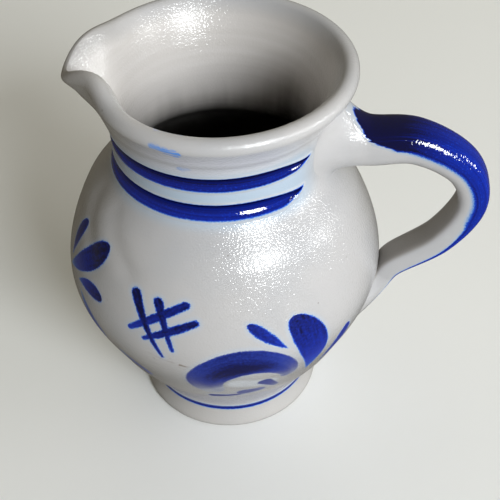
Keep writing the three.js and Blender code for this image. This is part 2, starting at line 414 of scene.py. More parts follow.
def grooveDepth(angle, height):
    # the tool's two grooves round the neck, smoothed away beside the handle
    depth = 0.0
    aside = abs(math.degrees(math.atan2(math.sin(angle), math.cos(angle))))
    for band in (bands["upper"], bands["lower"]):
        top = bandTop(band, aside)
        share = (top - height) / (top - band["bottom"])
        if 0 < share < 1:
            cut = readLine(grooveShares, grooveDepths, share)
            depth += cut * smoothStep(aside, band["tip"] - bands["grooveLead"], band["tip"] + band["taper"])
    return depth


def dentDepth(point):
    deep = 0.0
    turn = math.degrees(math.atan2(point.y, point.x)) % 360
    for (fromTurn, fromHeight), (toTurn, toHeight), width, depth in vessel["dents"]:
        stretch = math.radians(1) * wallRadius(fromHeight)
        way = Vector(((toTurn - fromTurn) * stretch, toHeight - fromHeight))
        here = Vector(((turn - fromTurn) * stretch, point.z / mm - fromHeight))
        share = min(1, max(0, here.dot(way) / way.length_squared))
        deep += depth * bell((here - way * share).length, width)
    return deep


def degreesFrom(point, angle):
    turn = math.atan2(point.y, point.x) - math.radians(angle)
    return math.degrees(math.atan2(math.sin(turn), math.cos(turn)))


def pullSpout(point):
    # the lip is drawn out between the fingers, pressed in beside the tip, and sags a little elsewhere
    share = smoothStep(point.z / mm, spout["from"], spout["to"])
    if share == 0:
        return point
    turn = degreesFrom(point, spout["angle"])
    aside = abs(turn)
    far = smoothStep(-turn, spout["farFrom"], spout["farTo"])
    pinch, spread, wingSpread, thinSpread = (
        mix(*spout[name], far) for name in ("pinch", "spread", "wingSpread", "thinSpread")
    )
    outward = (spout["reach"] + pinch) * bell(aside, spread)
    outward -= pinch * bell(aside, spout["pinchSpread"])
    upward = spout["wingRise"] * bell(aside - spout["wingAngle"], wingSpread)
    upward -= spout["tipDip"] * bell(aside, spout["tipSpread"])
    upward -= vessel["sag"] * (1 - bell(aside, vessel["sagSpread"]))
    radius = math.hypot(point.x, point.y) / mm
    blend = spout["thinBlend"]
    inner = smoothStep(vessel["lipRadius"] + blend - radius, 0, vessel["lipHalf"] + blend)
    outward += inner * spout["thin"] * bell(aside, thinSpread)
    return pushed(point, share * outward, share * upward)


def isInside(point):
    height = point.z / mm
    radius = math.hypot(point.x, point.y) / mm
    if height > vessel["lipLevel"]:
        return radius < vessel["lipRadius"]
    return height > vessel["floor"] / 2 and radius < wallRadius(height) - vessel["insideGap"]


def throwVessel(material):
    edge = vessel["footEdge"]
    flat = vessel["outside"][0][0] - edge
    foot = [(0, 0), (vessel["outside"][0][0] / 2, 0), (flat, 0)]
    foot += [(flat + edge * math.sin(turn), edge - edge * math.cos(turn)) for turn in vessel["footTurns"]]
    steps = vessel["lipSteps"]
    lip = [lipPoint(mix(vessel["lipFrom"], vessel["lipTo"], step / steps)) for step in range(1, steps)]
    insideKnots = [lipPoint(vessel["lipTo"])] + vessel["inside"] + [(0, vessel["floor"])]
    inside = smoothLine(insideKnots, vessel["insideSpacing"])
    profile = foot + [tuple(point) for point in outsideLine] + lip + [tuple(point) for point in inside]
    body = spinProfile("jug_body", profile, vessel["steps"])
    bpy.ops.object.mode_set(mode="OBJECT")
    within = body.data.attributes.new("within", "FLOAT", "POINT")
    for vertex in body.data.vertices:
        inner = isInside(vertex.co)
        within.data[vertex.index].value = max(0.0, spout["to"] * mm - vertex.co.z) if inner else 0.0
        if not inner and vertex.co.z > vessel["floor"] * mm:
            angle = math.atan2(vertex.co.y, vertex.co.x)
            grooved = pushed(vertex.co, grooveDepth(angle, vertex.co.z / mm))
            vertex.co = pushed(grooved, -dentDepth(grooved))
        vertex.co = pullSpout(vertex.co)
    finishPiece(body, material, "stoneware", "body")


# the strap handle, in millimetres
handle = {
    "reach": 50.5,
    "widths": (19, 15.5, 13),
    "thicknesses": (16.6, 11.9, 8.7),
    # the section is rounder at the top of the strap and squarer further down
    "powers": (2.8, 4.2),
    "squareFrom": 0.3,
    "squareTo": 0.65,
    "upperRoot": {"joint": 139, "way": 1, "halfWidth": 20, "outerHeight": 21.5, "innerHeight": 15,
                  "wallShare": 0.9, "strapShare": 0.65},
    "lowerRoot": {"joint": 52.5, "way": -1, "halfWidth": 18, "outerHeight": 24, "innerHeight": 24,
                  "wallShare": 0.13, "strapShare": 1.44},
    "rootShare": 0.16,
    "rootInset": 0.94,
    "endSkew": 0.13,
    "sink": -0.25,
    # the ends are closed inside the wall
    "capSize": 0.9,
    "capSink": -2.0,
    # shares of the reach off the wall and of the drop between the joints
    "course": [(0.351, 0.014), (0.669, 0.005), (1.008, 0.13), (0.877, 0.302), (0.518, 0.543),
               (0.107, 0.742), (0.067, 0.827)],
    # the stretches of the inner face that are painted darker, as painted shade; the second one also paints a
    # nearly black shadow in the crevice at the lower end
    "paintedShade": ((0.4, 0.62), (0.8, 0.95)),
    "paintedShadeSide": (-0.1, 0.8),
    "sides": 40,
    "steps": 60,
    "rootSteps": 16,
}


def strapKnot(reach, drop):
    height = mix(handle["upperRoot"]["joint"], handle["lowerRoot"]["joint"], drop)
    return Vector((wallRadius(height) + handle["reach"] * reach, 0, height))


strapKnots = [strapKnot(*place) for place in handle["course"]]


def strapCentre(share):
    spans = len(strapKnots) - 1
    first = min(int(share * spans), spans - 1)
    return hermite(*spanEnds(strapKnots, first), share * spans - first)


def strapWay(share):
    small = 1e-4
    return (strapCentre(min(1, share + small)) - strapCentre(max(0, share - small))).normalized()


def threeSizes(sizes, share):
    if share < 0.5:
        return mix(sizes[0], sizes[1], share * 2)
    return mix(sizes[1], sizes[2], share * 2 - 1)


def squared(value, share):
    power = mix(*handle["powers"], smoothStep(share, handle["squareFrom"], handle["squareTo"]))
    return math.copysign(abs(value) ** (2 / power), value)


def strapPoint(share, around):
    way = strapWay(share)
    outer = Vector((-way.z, 0, way.x))
    point = strapCentre(share)
    point += outer * squared(math.sin(around), share) * threeSizes(handle["thicknesses"], share) / 2
    point.y += squared(math.cos(around), share) * threeSizes(handle["widths"], share) / 2
    return point


def footprint(root, around, size, distance):
    reach = root["outerHeight"] if math.sin(around) > 0 else root["innerHeight"]
    height = root["joint"] + root["way"] * reach * size * math.sin(around)
    angle = root["halfWidth"] * size * math.cos(around) / wallRadius(root["joint"])
    return onWall(angle, height, distance)


def rootPoint(root, strapShare, share, around):
    edge = footprint(root, around, 1, handle["sink"])
    inner = footprint(root, around, handle["rootInset"], handle["sink"])
    end = strapPoint(strapShare, around)
    length = (end - edge).length
    hug = 1 if root["way"] > 0 else (1 + math.sin(around)) / 2  # the lower root is sharp under the strap
    wallWay = (inner - edge).normalized() * root["wallShare"] * hug * length
    endWay = strapWay(strapShare) * root["way"] * root["strapShare"] * length
    return hermite(edge, wallWay, end, endWay, share)


def handlePoint(along, around):
    # along runs from the neck to the belly, and a quarter turn around is the outer face
    rootShare = handle["rootShare"]
    strapEnd = 1 - handle["endSkew"] * (1 - math.sin(around)) / 2
    if along < rootShare:
        return rootPoint(handle["upperRoot"], 0, along / rootShare, around)
    if along > 1 - rootShare:
        return rootPoint(handle["lowerRoot"], strapEnd, (1 - along) / rootShare, around)
    return strapPoint((along - rootShare) / (1 - 2 * rootShare) * strapEnd, around)


def paintedShadeAt(along, around):
    # how much painted shade falls on the strap's inner face here
    deep = sum(smoothStep(along, *stretch) for stretch in handle["paintedShade"])
    side = 1 - 0.5 * smoothStep(math.cos(around), *handle["paintedShadeSide"])
    return deep * max(0, -math.sin(around)) * side


def pullHandle(material):
    angles = [2 * math.pi * side / handle["sides"] for side in range(handle["sides"])]
    rootShare, rootSteps = handle["rootShare"], handle["rootSteps"]
    stations = [rootShare * step / rootSteps for step in range(rootSteps)]
    stations += [mix(rootShare, 1 - rootShare, step / handle["steps"]) for step in range(handle["steps"])]
    stations += [mix(1 - rootShare, 1, step / rootSteps) for step in range(rootSteps + 1)]
    rings = [[handlePoint(along, around) for around in angles] for along in stations]
    paintedShade = [[paintedShadeAt(along, around) for around in angles] for along in stations]
    upper, lower = (
        [footprint(handle[root], around, handle["capSize"], handle["capSink"]) for around in angles]
        for root in ("upperRoot", "lowerRoot")
    )
    notes = {"paintedShade": paintedShade[:1] + paintedShade + paintedShade[-1:]}
    piece = sweepRings("jug_handle", [upper] + rings + [lower], notes)
    finishPiece(piece, material, "stoneware", "handle")


# cobalt coat on the outer face of the strap, in millimetres
coat = {
    # share of the handle's length, and half of the painted width in degrees round the strap
    "edge": [(0.05, -16), (0.072, 0), (0.092, 10), (0.12, 31), (0.155, 60), (0.227, 86), (0.31, 92),
             (0.55, 91), (0.62, 79), (0.7, 72), (0.82, 56), (0.9, 50), (0.945, 0), (0.97, -16)],
    "margin": 17,
    "thickness": 0.2,
    "edgeSink": -0.12,
    "sink": -0.5,
    "featherFrom": 0.7,
    "endFade": 0.02,
    "roundness": 8,
    # along this stretch the coat thins from nearly black to blue
    "fallFrom": 0.12,
    "fallTo": 0.45,
    "gleam": 1.0,
    "stations": 130,
    "sides": 30,
}
coatPlaces, coatHalves = zip(*coat["edge"])


def offHandle(along, around, distance):
    small = 1e-3
    ahead = handlePoint(along + small, around) - handlePoint(along - small, around)
    beside = handlePoint(along, around + small) - handlePoint(along, around - small)
    return handlePoint(along, around) + beside.cross(ahead).normalized() * distance


def brushCoat(material):
    rows = []
    first, last = coatPlaces[0], coatPlaces[-1]
    for station in range(coat["stations"] + 1):
        along = mix(first, last, station / coat["stations"])
        painted = readLine(coatPlaces, coatHalves, along)
        half = max(painted, 0) + coat["margin"]
        ended = 1 - smoothStep(min(along - first, last - along) / coat["endFade"], 0, 1)
        fall = smoothStep(along, coat["fallFrom"], coat["fallTo"])
        row = []
        for side in range(coat["sides"] + 1):
            aside = mix(-half, half, side / coat["sides"])
            around = math.radians(90 + aside)
            feather = max(ended, smoothStep(abs(aside) / half, coat["featherFrom"], 1))
            face = offHandle(along, around, mix(coat["thickness"], coat["edgeSink"], feather))
            back = offHandle(along, around, coat["sink"])
            shore = math.radians(painted - abs(aside)) * coat["roundness"] * mm
            lane = math.radians(aside) * coat["roundness"] * mm
            row.append((face, back, shore, fall, lane, coat["gleam"]))
        rows.append(row)
    layLayer("handle_cobalt", rows, material, "handle_coat")


def bandBottom(band, aside):
    brush = math.sqrt(min(1, max(0, (aside - band["tip"]) / band["taper"])))
    return mix(bandTop(band, aside) - bands["tipHeight"], band["bottom"], brush)


def layBand(name, band, material, node):
    rows = []
    start = band["tip"] - bands["lead"]
    margin = bands["margin"]
    for segment in range(bands["segments"] + 1):
        turn = mix(start, 360 - start, segment / bands["segments"])
        angle = math.radians(turn)
        aside = min(turn, 360 - turn)
        bottom, top = bandBottom(band, aside), bandTop(band, aside)
        begun = smoothStep(aside, start, start + bands["fadeIn"])
        row = []
        for step in range(bands["rows"] + 1):
            height = mix(top + margin, bottom - margin, step / bands["rows"])
            inside = min(top - height, height - bottom)
            feather = smoothStep(inside, -margin, bands["featherTo"]) * begun
            groove = grooveDepth(angle, height)
            face = onWall(angle, height, groove + mix(bands["edgeSink"], bands["coat"], feather))
            back = onWall(angle, height, groove + bands["sink"])
            beyond = math.radians(aside - band["tip"]) * wallRadius(height)
            # fall runs from the band's top to its bottom; the band is painted darker at its top, painted
            # shade of the groove's upper flank
            fall = smoothStep(top - height, 0, top - band["bottom"])
            row.append((face, back, min(inside, beyond) * mm, fall, height * mm, fall))
        rows.append(row)
    layLayer(name, rows, material, node)


# the thin line over the foot, in millimetres
footLine = {
    "top": 13.2,
    "bottom": 9.9,
    "margin": 1.2,
    "featherTo": -0.3,
    "coat": 0.16,
    "edgeSink": -0.08,
    "sink": -0.4,
    "rows": 12,
    "segments": 160,
    "fall": 0.9,
    "gleam": 0.4,
}


def insideFootLine(height):
    return min(footLine["top"] - height, height - footLine["bottom"])


def layFootLine(material):
    rows, margin = footLine["rows"], footLine["margin"]
    face, back = [], []
    for row in range(rows + 1):
        height = mix(footLine["top"] + margin, footLine["bottom"] - margin, row / rows)
        feather = smoothStep(insideFootLine(height), -margin, footLine["featherTo"])
        face.append((wallRadius(height) + mix(footLine["edgeSink"], footLine["coat"], feather), height))
        back.append((wallRadius(height) + footLine["sink"], height))
    section = face + back[::-1]
    piece = spinProfile("foot_cobalt", section + section[:1], footLine["segments"])
    bpy.ops.object.mode_set(mode="OBJECT")
    heights = [vertex.co.z / mm for vertex in piece.data.vertices]
    notes = {
        "shore": [insideFootLine(height) * mm for height in heights],
        "fall": [footLine["fall"]] * len(heights),
        "lane": [height * mm for height in heights],
        "gleam": [footLine["gleam"]] * len(heights),
    }
    for name, values in notes.items():
        piece.data.attributes.new(name, "FLOAT", "POINT").data.foreach_set("value", values)
    finishPiece(piece, material, "cobalt", "foot_line")


# brush marks on the belly: degrees round from the spout and millimetres up, half widths in millimetres
# a pointed mark starts at its round end; depth is how dark the cobalt is at the start and the end
marks = {
    "latticeA": {"from": (55.3, 104), "to": (67.2, 76.5), "widths": (2.2, 0.8), "bow": -0.6,
                 "depths": (1.0, 0.75)},
    "latticeB": {"from": (64.5, 103.5), "to": (70.6, 81.2), "widths": (2.0, 0.9), "depths": (0.95, 0.75)},
    "latticeC": {"from": (75.6, 104), "to": (52.8, 86.8), "widths": (1.6, 1.2), "swell": 0.4,
                 "depths": (0.9, 0.65)},
    "latticeD": {"from": (79, 97), "to": (58.6, 84.2), "widths": (1.5, 0.9), "swell": 0.6,
                 "depths": (0.95, 0.75)},
    "petalTop": {"from": (18.2, 111.6), "to": (13.5, 91.3), "widths": (2.75, 0), "point": 1, "bow": -0.8,
                 "depths": (0.9, 0.6)},
    "petalBig": {"from": (37.2, 113.3), "to": (11.8, 86.8), "widths": (4.95, 0), "point": 1, "bow": 2.3,
                 "depths": (1.0, 0.15)},
    "petalSide": {"from": (40.2, 90.9), "to": (23.2, 87.5), "widths": (3.3, 0), "point": 1, "bow": -1.3,
                  "depths": (0.95, 0.2)},
    "petalLow": {"from": (38, 66), "to": (25, 84), "widths": (3.4, 0), "point": 1, "depths": (0.5, 0.25)},
    "petalFoot": {"from": (54, 48.5), "to": (44, 65), "widths": (2.8, 0), "point": 1, "depths": (0.55, 0.3)},
    "leafSmall": {"from": (96.2, 95.6), "to": (109.6, 80.3), "widths": (2.4, 0), "point": 1,
                  "depths": (0.85, 0.6)},
    "leafDrop": {"from": (112.2, 93.5), "to": (120.9, 51.1), "widths": (6.9, 0), "point": 1, "bow": 4.4,
                 "depths": (0.9, 0.25)},
    "leafThin": {"from": (136.5, 74), "to": (130, 48), "widths": (3.6, 0), "point": 1,
                 "depths": (0.7, 0.45)},
}
# the big curl is one stroke bent round in a ring, with three short strokes in it
curls = {
    "blob": {"from": (101.2, 57.5), "to": (109.2, 45.5), "widths": (3.0, 1.6), "depths": (0.46, 0.24)},
    "sweep": {"from": (92, 45), "to": (104.5, 46.5), "widths": (3.4, 2.2), "depths": (0.34, 0.26)},
    "dash": {"from": (79.5, 41.2), "to": (94.5, 42.4), "widths": (2.1, 1.1), "depths": (0.72, 0.5)},
}
ring = {
    "at": (94, 61),
    "middle": 105,
    "reach": 19.0,
    "half": 116,
    "widths": (3.6, 6.2),
    "bow": -3.4,
    "lean": -2.6,
    "swell": 3.4,
    "depths": (0.16, 0.06),
    "body": 0.68,
    "side": 0.9,
    "core": 0.45,
}
# inside the curl the glaze was wiped paler
wiped = {"from": (89, 59), "to": (107, 53), "widths": (3.6, 3.2), "depths": (1.0, 1.0)}
# a thumb print of wet cobalt under the lip, and a fainter one below it
smudges = {
    "underLip": {"from": (62, 167), "to": (75, 165.2), "widths": (1.3, 2.4), "depths": (0.8, 1.2)},
    "onNeck": {"from": (70, 153.5), "to": (77, 154), "widths": (2.0, 1.4), "depths": (0.5, 0.4)},
}
# a scratch that the glaze filled, on the belly
scratches = {
    "scuff": {"from": (61, 77.2), "to": (70.5, 74.8), "widths": (0.3, 0.5), "bow": -0.4,
              "depths": (0.2, 0.4)},
    "pit": {"from": (72, 74.2), "to": (75.8, 73.6), "widths": (0.75, 0.3), "depths": (0.9, 0.4)},
}
# how the brush leaves its cobalt: edges in millimetres off the mark, the first where it begins
brush = {
    "edge": (0.3, -0.6),
    "halo": (2.2, -0.2),
    "hairs": (60, 700, 0),
    "hairDepth": (0.93, 1.05),
    "fineFray": 1.3,
    "fineScale": 1900,
    "broadFray": 0.4,
    "broadScale": 170,
    "washScale": 900,
    "wash": (1.08, 0.86),
}
# blue tint between and beside the neck's bands: millimetres off the bands, and along the handle's line
neckTint = {"above": (8, -1), "below": (-5, 1), "beside": (-38, -26)}


def brushGroup():
    # one brush mark: its place runs along x, its width lies across y, and z points off the wall
    tree = bpy.data.node_groups.new("brushMark", "ShaderNodeTree")
    tree.interface.new_socket("Place", in_out="INPUT", socket_type="NodeSocketVector")
    numbers = ("Half", "Start", "End", "Point", "Bow", "Lean", "Swell", "StartDepth", "EndDepth", "Body",
               "Side", "Core", "Ragged")
    for name in numbers:
        tree.interface.new_socket(name, in_out="INPUT", socket_type="NodeSocketFloat")
    for name in ("Paint", "Halo"):
        tree.interface.new_socket(name, in_out="OUTPUT", socket_type="NodeSocketFloat")
    given = tree.nodes.new("NodeGroupInput").outputs
    result = tree.nodes.new("NodeGroupOutput").inputs
    split = axes(tree, given["Place"])
    # share along the mark, and its middle line and width there
    share = ranged(tree, split["X"], times(tree, given["Half"], -1.0), given["Half"], kind="LINEAR")
    rest = maths(tree, "SUBTRACT", 1.0, share)
    hump = times(tree, share, rest, 4.0)
    middle = maths(tree, "MULTIPLY_ADD", given["Bow"], hump, times(tree, given["Lean"], share))
    across = maths(tree, "SUBTRACT", split["Y"], middle)
    even = between(tree, share, given["Start"], given["End"])
    plain = maths(tree, "MULTIPLY_ADD", given["Swell"], hump, even)
    leaf = times(tree, maths(tree, "SQRT", share), rest, 2.598)  # its widest place is as wide as its start
    width = between(tree, given["Point"], plain, times(tree, leaf, given["Start"]))
    # distance off the mark, which grows fast on the far wall
    beyond = maths(tree, "SUBTRACT", maths(tree, "ABSOLUTE", split["X"]), given["Half"])
    over = maths(tree, "MAXIMUM", beyond, 0.0)
    square = maths(tree, "MULTIPLY_ADD", over, over, times(tree, across, across))
    reach = maths(tree, "SUBTRACT", maths(tree, "SQRT", square), width)
    below = maths(tree, "SUBTRACT", times(tree, split["Z"], -1.0), 0.02)
    reach = maths(tree, "MULTIPLY_ADD", maths(tree, "MAXIMUM", below, 0.0), 20.0, reach)
    reach = maths(tree, "ADD", reach, given["Ragged"])
    mask = ranged(tree, reach, *metres(brush["edge"]))
    # depth of the cobalt along and across the mark
    depth = between(tree, times(tree, share, share), given["StartDepth"], given["EndDepth"])
    depth = maths(tree, "MULTIPLY_ADD", given["Body"], hump, depth)
    lean = maths(tree, "DIVIDE", across, maths(tree, "MAXIMUM", width, 0.1 * mm))
    side = between(tree, ranged(tree, lean, -1.0, 1.0), given["Side"], 1.0)
    core = times(tree, ranged(tree, lean, -1.0, -0.4), ranged(tree, lean, 0.6, -0.2))
    side = maths(tree, "MULTIPLY_ADD", given["Core"], core, side)
    hairs = grain(tree, stretched(tree, given["Place"], brush["hairs"]), 1.0, 1)
    strength = times(tree, depth, side, ranged(tree, hairs, 0.3, 0.7, *brush["hairDepth"]))
    plug(tree, result["Paint"], times(tree, mask, strength))
    near = ranged(tree, reach, *metres(brush["halo"]), kind="LINEAR")
    plug(tree, result["Halo"], times(tree, near, strength))
    return tree


brushTree = brushGroup()


def wallFrame(angle, height):
    # place and outward way of the wall, with the angle counted from the spout
    small = 0.5
    slope = (wallRadius(height + small) - wallRadius(height - small)) / (2 * small)
    way = Vector((math.cos(angle), math.sin(angle), -slope)).normalized()
    return onWall(angle, height), way


def markTurn(along, outward):
    along = (along - outward * along.dot(outward)).normalized()
    return Matrix((along, outward.cross(along), outward)).transposed().to_euler()


def addMark(tree, place, half, mark, ragged):
    values = {
        "Place": place,
        "Half": half * mm,
        "Start": mark["widths"][0] * mm,
        "End": mark["widths"][1] * mm,
        "Point": mark.get("point", 0),
        "Bow": mark.get("bow", 0) * mm,
        "Lean": mark.get("lean", 0) * mm,
        "Swell": mark.get("swell", 0) * mm,
        "StartDepth": mark["depths"][0],
        "EndDepth": mark["depths"][1],
        "Body": mark.get("body", 0),
        "Side": mark.get("side", 1.0),
        "Core": mark.get("core", 0),
        "Ragged": ragged,
    }
    node = addNode(tree, "ShaderNodeGroup", node_tree=brushTree)
    for name, value in values.items():
        plug(tree, node.inputs[name], value)
    return node.outputs["Paint"], node.outputs["Halo"]


def straightMark(tree, where, mark, ragged):
    start = onWall(math.radians(mark["from"][0]), mark["from"][1])
    end = onWall(math.radians(mark["to"][0]), mark["to"][1])
    angle = math.radians((mark["from"][0] + mark["to"][0]) / 2)
    centre, outward = wallFrame(angle, (mark["from"][1] + mark["to"][1]) / 2)
    length = (end - start).length
    if not mark.get("point"):
        length -= sum(mark["widths"])  # the round ends add their own width
    place = moved(tree, where, centre * mm, markTurn(end - start, outward))
    return addMark(tree, place, length / 2, mark, ragged)


def ringMark(tree, where, ragged):
    centre, outward = wallFrame(math.radians(ring["at"][0]), ring["at"][1])
    right = Vector((0, 0, 1)).cross(outward).normalized()
    up = outward.cross(right)
    middle = math.radians(ring["middle"])
    along = right * math.cos(middle) + up * math.sin(middle)
    split = axes(tree, moved(tree, where, centre * mm, markTurn(along, outward)))
    turn = maths(tree, "ARCTAN2", split["Y"], split["X"])
    square = maths(tree, "MULTIPLY_ADD", split["X"], split["X"], times(tree, split["Y"], split["Y"]))
    length = times(tree, turn, ring["reach"] * mm)
    off = maths(tree, "SUBTRACT", maths(tree, "SQRT", square), ring["reach"] * mm)
    place = joined(tree, X=length, Y=off, Z=split["Z"])
    return addMark(tree, place, math.radians(ring["half"]) * ring["reach"], ring, ragged)


def raggedEdge(tree, where):
    fine = swung(tree, grain(tree, where, brush["fineScale"], 1))
    broad = swung(tree, grain(tree, where, brush["broadScale"], 2))
    broad = times(tree, broad, brush["broadFray"] * mm)
    return maths(tree, "MULTIPLY_ADD", fine, brush["fineFray"] * mm, broad)


def spoutPlace(tree, where):
    return moved(tree, where, (0, 0, 0), (0, 0, math.radians(spout["angle"])))


def foldedPlace(tree, where):
    # both sides of the jug carry the same marks, mirrored in the plane of the spout
    split = axes(tree, spoutPlace(tree, where))
    return joined(tree, X=split["X"], Y=maths(tree, "ABSOLUTE", split["Y"]), Z=split["Z"])


def outerSide(tree):
    return ranged(tree, note(tree, "within"), 1.0 * mm, 0.2 * mm)


# each paint gives the cobalt's depth, its halo, the blue tint of the glaze and the curl's slate blue
def bodyPaint(tree, where):
    ragged = raggedEdge(tree, where)
    paired = foldedPlace(tree, where)
    split = axes(tree, paired)
    found = [straightMark(tree, paired, mark, ragged) for mark in marks.values()]
    bent = [straightMark(tree, paired, mark, ragged) for mark in curls.values()]
    bent.append(ringMark(tree, paired, ragged))
    slate = most(tree, [mark[0] for mark in bent])
    paint = most(tree, [mark[0] for mark in found] + [slate])
    halo = most(tree, [mark[1] for mark in found + bent])
    wash = ranged(tree, grain(tree, where, brush["washScale"], 3, 0.7), 0.3, 0.72, *brush["wash"])
    outer = outerSide(tree)
    above = ranged(tree, split["Z"], *((bands["upper"]["top"] + rise) * mm for rise in neckTint["above"]))
    below = ranged(tree, split["Z"], *((bands["lower"]["bottom"] + rise) * mm for rise in neckTint["below"]))
    beside = ranged(tree, split["X"], *metres(neckTint["beside"]))
    tint = times(tree, above, below, beside, outer)
    return times(tree, paint, wash, outer), times(tree, halo, outer), tint, slate


def barePaint(tree, where):
    return 0.0, 0.0, 0.0, 0.0


# cobalt laid thickly on the strap and in the grooves, in millimetres off its edge
thickWash = {
    "drift": (14, 14, 14),
    "laneScale": 900.0,
    "edge": (0.2, -0.4),
    "fleckScale": 1500,
    "flecks": 0.2,
    "pool": 0.14,
    "rim": 0.5,
    "halo": (1.3, -0.2),
    "tint": 0.25,
}


def shorePaint(depths, swing, fray):
    # painted where the piece's own edge note is above nought, and streaked along the brush's lanes
    def findPaint(tree, where):
        lane = joined(tree, X=times(tree, note(tree, "lane"), thickWash["laneScale"]))
        lines = vectorMaths(tree, "ADD", stretched(tree, where, thickWash["drift"]), lane)
        streak = swung(tree, grain(tree, lines, 1.0, 3, 0.6))
        fall = note(tree, "fall")
        frayed = times(tree, raggedEdge(tree, where), 0.5)
        frayed = maths(tree, "MULTIPLY_ADD", streak, ranged(tree, fall, 0.0, 0.5, fray * mm, 0.0), frayed)
        reach = maths(tree, "SUBTRACT", frayed, note(tree, "shore"))
        mask = ranged(tree, reach, *metres(thickWash["edge"]))
        # darker where fall is low: on the bands this is painted shade at the top of the groove, on the strap
        # the thicker cobalt near its root
        tone = maths(tree, "MULTIPLY_ADD", streak, swing, ranged(tree, fall, 0.15, 0.85, *depths))
        flecks = ranged(tree, grain(tree, where, thickWash["fleckScale"], 2, 0.6), 0.54, 0.72)
        thin = ranged(tree, fall, 0.2, 0.7, 0.0, thickWash["flecks"])
        tone = maths(tree, "SUBTRACT", tone, times(tree, flecks, thin))
        tone = maths(tree, "ADD", tone, ranged(tree, reach, -1.8 * mm, -0.7 * mm, 0.0, thickWash["pool"]))
        tone = maths(tree, "SUBTRACT", tone, ranged(tree, reach, -0.9 * mm, 0.0, 0.0, thickWash["rim"]))
        halo = ranged(tree, reach, *metres(thickWash["halo"]), kind="LINEAR")
        return times(tree, mask, tone), halo, thickWash["tint"], 0.0

    return findPaint


glaze = {
    "grey": colour(0.458, 0.446, 0.452),
    "cool": colour(0.418, 0.415, 0.43),
    "warm": colour(0.42, 0.395, 0.37),
    "speck": colour(0.2, 0.18, 0.17),
    "tint": colour(0.36, 0.46, 0.58),
    "mist": colour(0.37, 0.46, 0.6),
    "halo": colour(0.04, 0.17, 0.55),
    "inner": colour(0.535, 0.51, 0.5),
    # nearly black painted shade deep inside the jug and in the crevice under the strap
    "deep": colour(0.026, 0.024, 0.022),
    "foot": colour(0.42, 0.39, 0.35),
    "scratch": colour(0.2, 0.15, 0.11),
    # lighter tone of the throwing ridges, painted light on the neck under the lip
    "paintedLightRidge": colour(0.6, 0.6, 0.63),
    "wiped": colour(0.62, 0.66, 0.72),
    # the painted shade of the flank under the spout
    "paintedShadeFlank": colour(0.3, 0.275, 0.25),
    # painted shade of the strap's inner face
    "paintedShade": colour(0.2, 0.18, 0.155),
    "smudge": colour(0.06, 0.24, 0.7),
    # from a thin wash to nearly black blue
    "cobalt": [(0.0, colour(0.3, 0.38, 0.52)), (0.15, colour(0.12, 0.25, 0.58)),
               (0.3, colour(0.03, 0.13, 0.52)), (0.45, colour(0.009, 0.053, 0.45)),
               (0.6, colour(0.002, 0.023, 0.36)), (0.8, colour(0.001, 0.01, 0.19)),
               (1.0, colour(0.0006, 0.0015, 0.035))],
    "slate": [(0.0, colour(0.32, 0.34, 0.43)), (0.2, colour(0.16, 0.18, 0.33)),
              (0.35, colour(0.075, 0.09, 0.28)), (0.5, colour(0.026, 0.046, 0.27)),
              (0.65, colour(0.01, 0.028, 0.25)), (0.85, colour(0.003, 0.01, 0.13)),
              (1.0, colour(0.002, 0.004, 0.06))],
}
# the clay, what the kiln and the maker left on it, and the painted shade and painted light laid over it:
# grain in features per metre, heights in millimetres
clay = {
    "cloudScale": 28,
    "dustScale": 640,
    "dust": 0.22,
    "speckScale": 210.0,
    "specks": 0.6,
    "tint": 0.8,
    "turning": (9, 9, 330),
    "turnedNeck": (147, 152, 159, 166),
    "turned": 0.6,
    "footFrom": 11,
    "footTo": 7,
    "foot": 0.35,
    "wiped": 0.7,
    # painted shade on the flank under the spout
    "paintedShadeFlankFrom": 0.8,
    "paintedShadeFlank": 0.42,
    "dryBrush": (120, 120, 700),
    "roughness": 0.36,
}
# the slip inside, and the painted shade that darkens it towards nearly black further down and higher up on
# the handle's side: depths below the spout, in millimetres
slipAndShade = {"paleTo": 8, "darkFrom": 32, "darkTo": 70, "handleSide": 1.5, "handleReach": 30, "ridges": 0.22,
        "runs": (130, 130, 12), "runDepth": 16}
# the glossy skin with the orange peel of the salt, depths in millimetres
skin = {"peelScale": 1350, "underPeel": 0.03, "dimpleScale": 240, "dimples": 0.04, "turned": 0.06,
        "overPaint": 0.35, "fadeFrom": 30, "fadeTo": 70, "faded": 0.05, "least": 0.1}
# gloss is the roughness of the skin, weight how much of it there is, and glow the sheen of the clay under it
finishes = {
    "body": {"gloss": 0.11, "peel": 0.26, "weight": 0.9, "ior": 1.5, "glow": 0.32},
    "handle": {"gloss": 0.12, "peel": 0.25, "weight": 0.7, "ior": 1.5, "glow": 0.2},
    "band": {"gloss": 0.05, "peel": 0.06, "weight": 0.9, "ior": 1.8, "glow": 0.0},
    "strap": {"gloss": 0.05, "peel": 0.13, "weight": 0.9, "ior": 1.8, "glow": 0.0},
}


def washTone(tree, paint, stops):
    ramp = addNode(tree, "ShaderNodeValToRGB", {"Fac": paint})
    elements = ramp.color_ramp.elements
    while len(elements) < len(stops):
        elements.new(0.5)
    for element, (place, tone) in zip(elements, stops):
        element.position = place
        element.color = tone
    return ramp.outputs["Color"]


def greyClay(tree, where, tint):
    # cool and warm clouds, and fine dark specks
    clouds = ranged(tree, grain(tree, where, clay["cloudScale"], 3), 0.35, 0.65)
    tone = tinted(tree, clouds, glaze["grey"], glaze["cool"])
    dust = ranged(tree, grain(tree, where, clay["dustScale"], 2, 0.6), 0.6, 0.74, 0.0, clay["dust"])
    tone = tinted(tree, dust, tone, glaze["warm"])
    cells = addNode(tree, "ShaderNodeTexVoronoi", {"Vector": where, "Scale": clay["speckScale"]}).outputs
    picked = addNode(tree, "ShaderNodeSeparateColor", {"Color": cells["Color"]}).outputs[0]
    dots = ranged(tree, cells["Distance"], 0.12, 0.05, 0.0, clay["specks"])
    tone = tinted(tree, times(tree, dots, ranged(tree, picked, 0.93, 0.95)), tone, glaze["speck"])
    return tinted(tree, times(tree, tint, clay["tint"]), tone, glaze["tint"])


